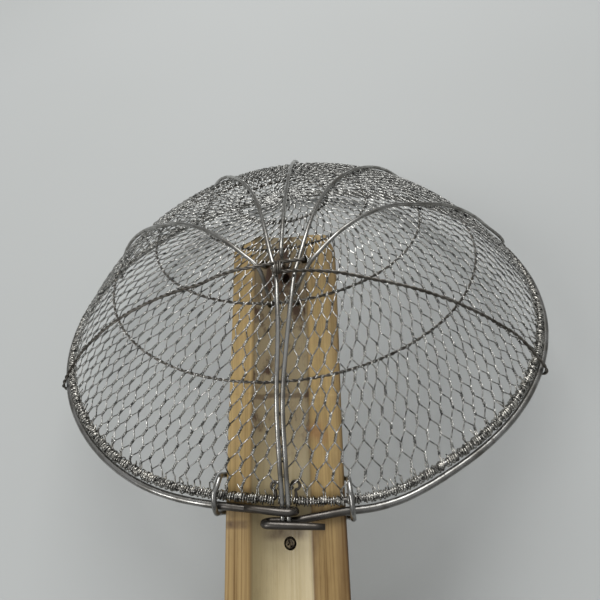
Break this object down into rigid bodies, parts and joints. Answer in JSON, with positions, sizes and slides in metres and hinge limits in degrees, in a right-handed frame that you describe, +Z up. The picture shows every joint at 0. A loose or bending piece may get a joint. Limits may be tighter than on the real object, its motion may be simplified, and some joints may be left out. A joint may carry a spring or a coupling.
{
  "type": "noodle strainer",
  "caption": "Shallow wire-net strainer bowl on hoops and fanned ribs, lashed to a sloping split-bamboo handle for lifting noodles out of boiling water.",
  "frame": {"origin": "middle of the bounding box's footprint, on the surface that the strainer lies on dome up", "axes": "+Z up, +Y along the strainer from the grip end to the bowl, +X to the right when looking from the grip to the bowl"},
  "size_m": [0.2524, 0.4722, 0.1153],
  "materials": {
    "bamboo": "planed bamboo, dry and lightly stained",
    "steel_wire": "drawn wire, worn bright",
    "net_wire": "thin galvanised wire, dulled by use",
    "dark_wire": "annealed wire, dark"
  },
  "bodies": {
    "root": {"handle_slat": "bamboo", "handle_screw": "steel_wire", "rim_hoop": "steel_wire", "edge_hoop": "steel_wire", "edge_binding": "dark_wire", "net": "net_wire", "ring_1": "net_wire", "ring_2": "net_wire", "ring_3": "net_wire", "ring_4": "net_wire", "pair_rib_left": "steel_wire", "pair_rib_right": "steel_wire", "centre_rib": "steel_wire", "side_rib": "steel_wire", "cross_wire_left": "dark_wire", "cross_wire_right": "dark_wire", "hub_tie": "dark_wire", "handle_lashing": "steel_wire"}
  },
  "joints": []
}
